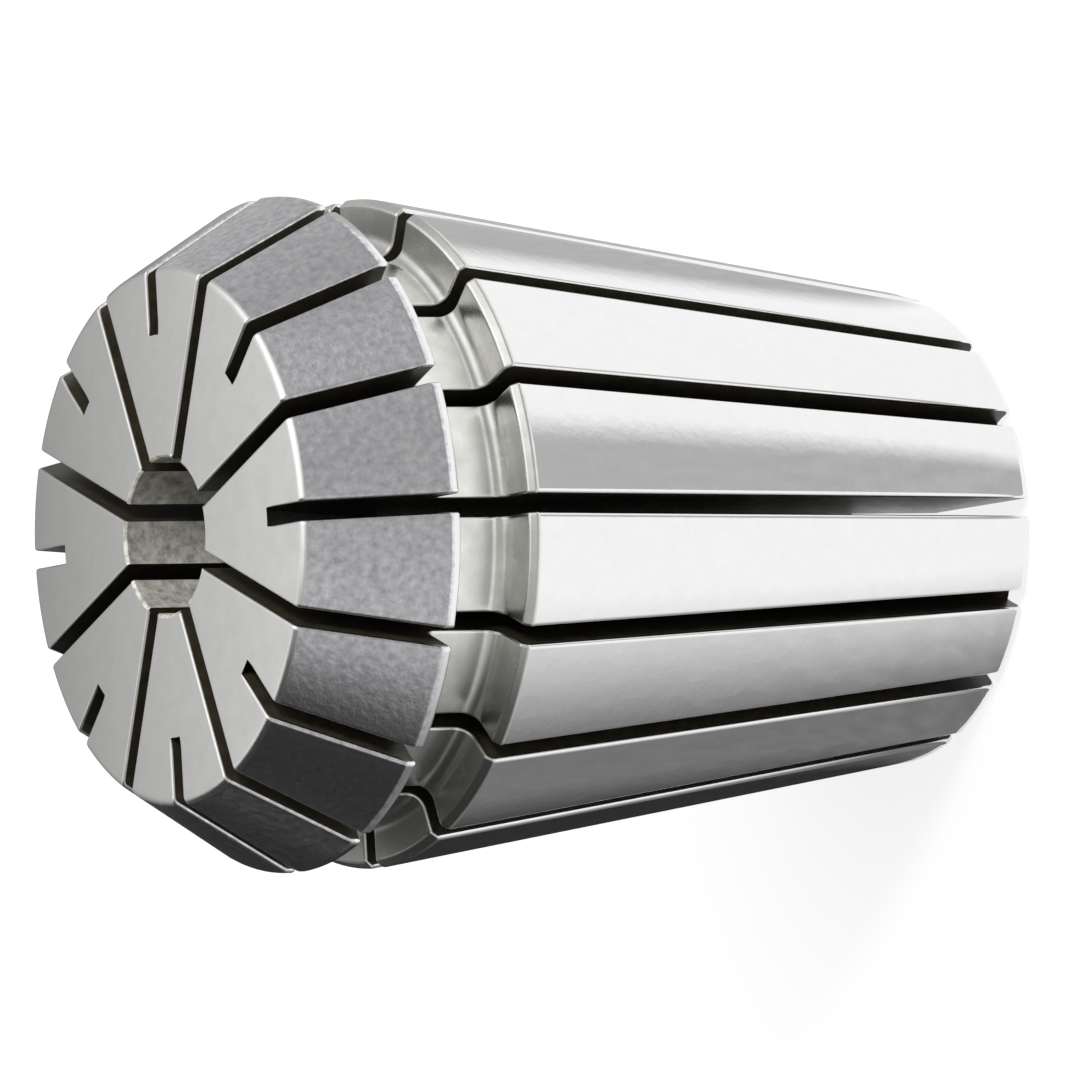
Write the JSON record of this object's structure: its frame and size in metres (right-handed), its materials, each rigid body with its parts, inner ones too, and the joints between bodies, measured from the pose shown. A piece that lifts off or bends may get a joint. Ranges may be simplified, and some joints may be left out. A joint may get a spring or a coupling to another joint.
{
  "type": "er collet",
  "caption": "Slit steel spring collet with a long taper, a nut groove and a short nose cone, which closes evenly on a round tool shank.",
  "frame": {"origin": "centre of the back end, the small end of the long taper, on the collet's axis", "axes": "+Z along the collet's axis towards the nose, +X through the middle of a slot that is sawn in from the back end"},
  "size_m": [0.026, 0.026, 0.034],
  "materials": {
    "ground_spring_steel": "hardened spring steel, finely ground outside, satin"
  },
  "bodies": {
    "root": {"collet": "ground_spring_steel"}
  },
  "joints": []
}
